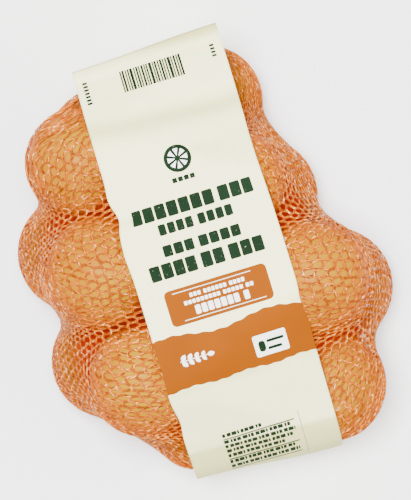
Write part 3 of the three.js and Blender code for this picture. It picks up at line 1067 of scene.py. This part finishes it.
def rounded_bar(u0, y0, u1, y1, radius=1.0, steps=4):
    """Outline of a rectangle with round corners."""
    u0, u1, y0, y1 = min(u0, u1), max(u0, u1), min(y0, y1), max(y0, y1)
    radius = min(radius, (u1 - u0) / 2.01, (y1 - y0) / 2.01)
    corners = [(u1 - radius, y1 - radius, 0), (u0 + radius, y1 - radius, 90),
               (u0 + radius, y0 + radius, 180), (u1 - radius, y0 + radius, 270)]
    outline = []
    for cu, cy, begin in corners:
        for k in range(steps + 1):
            angle = math.radians(begin + 90 * k / steps)
            outline.append((cu + radius * math.cos(angle), cy + radius * math.sin(angle)))
    return outline


def disc(u, y, radius, steps=40):
    """Outline of a round field."""
    turns = [2 * math.pi * k / steps for k in range(steps)]
    return [(u + radius * math.cos(t), y + radius * math.sin(t)) for t in turns]


def ink(name, outlines, material, layer=1):
    """One piece of ink from flat outlines, cut into small faces and laid on the film."""
    flat, faces = [], []
    for outline in outlines:
        patch = bmesh.new()
        patch.faces.new([patch.verts.new((u, y, 0)) for u, y in outline])
        us, ys = [p[0] for p in outline], [p[1] for p in outline]
        cuts = [((u, 0, 0), (1, 0, 0)) for u in np.arange(min(us) + PATCH_STEP, max(us), PATCH_STEP)]
        cuts += [((0, y, 0), (0, 1, 0)) for y in np.arange(min(ys) + PATCH_STEP, max(ys), PATCH_STEP)]
        for place, way in cuts:
            everything = patch.verts[:] + patch.edges[:] + patch.faces[:]
            bmesh.ops.bisect_plane(patch, geom=everything, plane_co=place, plane_no=way)
        bmesh.ops.triangulate(patch, faces=patch.faces[:])
        patch.verts.index_update()
        faces += [[v.index + len(flat) for v in f.verts] for f in patch.faces]
        flat += [tuple(v.co[:2]) for v in patch.verts]
        patch.free()
    flat = np.array(flat)
    points = film_point(flat[:, 0], along_at(flat[:, 0], flat[:, 1]), INK_LIFT * layer)
    piece = piece_from(name, points, faces, material)
    if np.mean([face.normal.z for face in piece.data.polygons]) < 0:
        piece.data.flip_normals()
    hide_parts("label_band")
    print(name, len(outlines), "patches,", len(faces), "triangles")
    return piece


# %% The inks
green_ink = printed_film("green_ink", linear(0.0065, 0.019, 0.008), linear(0.005, 0.015, 0.006),
                         specks=linear(0.30, 0.36, 0.20))
small_green = printed_film("small_green_ink", linear(0.012, 0.028, 0.013), linear(0.01, 0.022, 0.01))
orange_ink = printed_film("orange_ink", linear(0.21, 0.050, 0.0001), linear(0.19, 0.045, 0.0001))
seam_shade = printed_film("seam_shade", linear(0.36, 0.34, 0.18), linear(0.33, 0.31, 0.16))
white_ink = printed_film("white_ink", linear(0.95, 0.95, 0.85), linear(0.92, 0.92, 0.82))
print("inks", [material.name for material in (green_ink, small_green, orange_ink, seam_shade, white_ink)])

# %% The green print
STRIPES = {"left": -18.8, "right": 20.0, "top": 119.2, "bottom": 105.4}
STRIPE_WIDTHS = (0.9, 1.3, 0.8, 1.0, 1.7, 0.8, 1.2)
HEADING_ROWS = (  # left, right, top, bottom and the blocks of each group
    (-37.5, 38.5, 34.6, 25.4, (7, 3)),
    (-23.5, 22.5, 22.4, 15.6, (4, 4)),
    (-24.5, 23.5, 9.6, 2.6, (3, 4)),
    (-36, 34.5, -0.6, -10, (4, 2, 3)),
)
BADGE_Y, BADGE_RADIUS = 57.5, 8.4


def head_stripes():
    """Upright stripes of uneven width."""
    outlines, u, k = [], STRIPES["left"], 0
    while u < STRIPES["right"]:
        width = STRIPE_WIDTHS[k % len(STRIPE_WIDTHS)]
        outlines.append(rounded_bar(u, STRIPES["top"], u + width, STRIPES["bottom"], 0.05, 1))
        u += width + 0.45 + 0.15 * (k * 5 % 3)
        k += 1
    return outlines


def block_row(left, right, top, bottom, groups, gap=1.0, space=3.2, radius=0.9):
    """A row of plain upright blocks in groups, spread over the width between left and right."""
    count = sum(groups)
    width = ((right - left) - space * (len(groups) - 1) - gap * (count - len(groups))) / count
    outlines, u = [], left
    for blocks in groups:
        for _ in range(blocks):
            outlines.append(rounded_bar(u, top, u + width, bottom, radius))
            u += width + gap
        u += space - gap
    return outlines


heading = [block for row in HEADING_ROWS for block in block_row(*row)]
badge = [disc(0, BADGE_Y, BADGE_RADIUS)]
badge_blocks = block_row(-7, 7, 46.6, 43.6, (4,), 0.7, 0, 0.5)
ink("print_green", head_stripes() + heading + badge + badge_blocks, green_ink)

# %% The small print and the seam
SMALL_PRINT = {"left": -23.5, "top": -110.0, "width": 45.0, "pitch": 3.3, "height": 2.3}
SMALL_ROWS = ((25, 1), (42, 0), (44.5, 3), (43, 2), (37, 1), (41.5, 2), (44, 0))  # length, first bar
BAR_WIDTH, BAR_WIDTH_ADDED, LEAST_BAR = 1.3, 1.9, 0.6
RULE_ROWS, RULE_THICKNESS, RULE_ROOM = (0.98, 5.3, 7.62), 0.75, 0.3
SIDE_MARKS = ((-42.4, -39.4, 7), (38.4, 41.2, 4))  # left, right and how many
SIDE_MARK_TOP, SIDE_MARK_BOTTOM, SIDE_MARK_PITCH = 119, 117.6, 2.2
SEAM_LINE = (24.6, -109, 25.15, -140.5)  # left, top, right and bottom


def small_rules():
    """Thin rules between the rows of small bars."""
    left, top, pitch = (SMALL_PRINT[key] for key in ("left", "top", "pitch"))
    heights = [top - row * pitch for row in RULE_ROWS]
    right = left + SMALL_PRINT["width"]
    return [rounded_bar(left, y, right, y - RULE_THICKNESS, 0.1, 1) for y in heights]


def small_rows():
    """Rows of small bars of uneven length, with room for the rules."""
    left, top, pitch = (SMALL_PRINT[key] for key in ("left", "top", "pitch"))
    outlines = []
    for k, (length, first) in enumerate(SMALL_ROWS):
        u, bar = left, 0
        y = top - pitch * (k + RULE_ROOM * (k > 0) + RULE_ROOM * (k > 4))
        while u < left + length:
            added = BAR_WIDTH_ADDED * ((k * 7 + bar * 5 + first) % 4) / 3
            wide = min(BAR_WIDTH + added, left + length - u)
            if wide > LEAST_BAR:
                outlines.append(rounded_bar(u, y, u + wide, y - SMALL_PRINT["height"], 0.3, 1))
            u += wide + (0.4 if bar % 3 else 1.0)
            bar += 1
    return outlines


def side_marks():
    """Two short ladders of marks beside the stripes."""
    outlines = []
    for left, right, count in SIDE_MARKS:
        for k in range(count):
            down = SIDE_MARK_PITCH * k
            outlines.append(rounded_bar(left, SIDE_MARK_TOP - down, right, SIDE_MARK_BOTTOM - down, 0.2, 1))
    return outlines


ink("print_small", small_rules() + small_rows() + side_marks(), small_green)
ink("film_seam", [rounded_bar(*SEAM_LINE, 0.1, 1)], seam_shade)

# %% The orange field, and the shapes of the pale print
UPPER_WAVES = ((2.0, 9.5, 0.6), (0.35, 61, 0))  # height, turns and start
LOWER_WAVES = ((0.7, 17, 0), (0.3, 71, 0))
PLAQUE = (-32, -17.2, 31.5, -39.2, 3)  # left, top, right, bottom and corner radius


def slice_wedges(u, y, inner, outer, count=8, share=0.66):
    """The pale wedges of a cut citrus fruit."""
    outlines = []
    for k in range(count):
        middle = 2 * math.pi * k / count
        half = math.pi / count * share
        arc = [middle - half + 2 * half * q / 6 for q in range(7)]
        outlines.append([(u + inner * math.cos(middle), y + inner * math.sin(middle))]
                        + [(u + outer * math.cos(a), y + outer * math.sin(a)) for a in arc])
    return outlines


def waving(height, waves, t):
    """A height with waves on it."""
    for tall, turns, begin in waves:
        height += tall * math.sin(turns * t + begin)
    return height


def wavy_field(top, bottom, steps=70):
    """A field right across the band, with wavy upper and lower edges."""
    half = BAND_WIDTH / 2
    share = [k / steps for k in range(steps + 1)]
    upper = [(mix(-half, half, t), waving(top, UPPER_WAVES, t)) for t in share]
    lower = [(mix(half, -half, t), waving(bottom, LOWER_WAVES, t)) for t in share]
    return upper + lower


def leaf(u, y, length, angle, fullness=0.32, steps=8):
    """A plain pointed leaf."""
    way = (math.cos(math.radians(angle)), math.sin(math.radians(angle)))
    side = (-way[1], way[0])
    share = [k / steps for k in range(steps + 1)]
    edge = [(length * t, fullness * length * math.sin(math.pi * t) ** 0.8) for t in share]
    edge += [(a, -b) for a, b in edge[-2:0:-1]]
    return [(u + a * way[0] + b * side[0], y + a * way[1] + b * side[1]) for a, b in edge]


def sprig(u, y, pairs=4, pitch=4.2, length=4.6):
    """A stem with pairs of leaves."""
    outlines = [rounded_bar(u, y - 0.25, u + pairs * pitch, y + 0.25, 0.2, 1)]
    for k in range(pairs):
        for lean in (52, -52):
            outlines.append(leaf(u + 1 + k * pitch, y, length * (1 - 0.08 * k), lean))
    outlines.append(leaf(u + pairs * pitch, y, length, 0))
    return outlines


ink("print_field", [wavy_field(FIELD_TOP, FIELD_BOTTOM), rounded_bar(*PLAQUE)], orange_ink, 2)

# %% The pale print and the card's marks
PLAQUE_LINES = ((-27, -19.4, 22, -19.8), (-24, -36.8, 27, -37.2))  # left, top, right and bottom
PLAQUE_ROWS = (  # left, right, top, bottom, the blocks of each group, gap, space and corner radius
    (-17, 17, -21.8, -24.3, (3, 6, 4), 0.55, 1.9, 0.4),
    (-21.5, 21.5, -25.8, -28.2, (9, 5, 2), 0.55, 1.9, 0.4),
    (-16, 17.5, -29.8, -35.2, (7, 1), 0.8, 3, 0.7),
)
CARD = (11, -57.8, 31.5, -71.2, 1.2)  # left, top, right, bottom and corner radius
CARD_MARKS = ((13.6, -61.6, 17.8, -68.4, 1.8), (19, -61.8, 29.6, -63.6, 0.5), (19, -66.4, 27.5, -68.2, 0.5))

plaque_marks = [rounded_bar(*line, 0.2, 1) for line in PLAQUE_LINES]
plaque_marks += [block for row in PLAQUE_ROWS for block in block_row(*row)]
wedges = slice_wedges(0, BADGE_Y, 1.5, 6.1)
ink("print_white", plaque_marks + wedges + sprig(-34, -60) + [rounded_bar(*CARD)], white_ink, 3)
ink("print_card", [rounded_bar(*mark) for mark in CARD_MARKS], green_ink, 4)
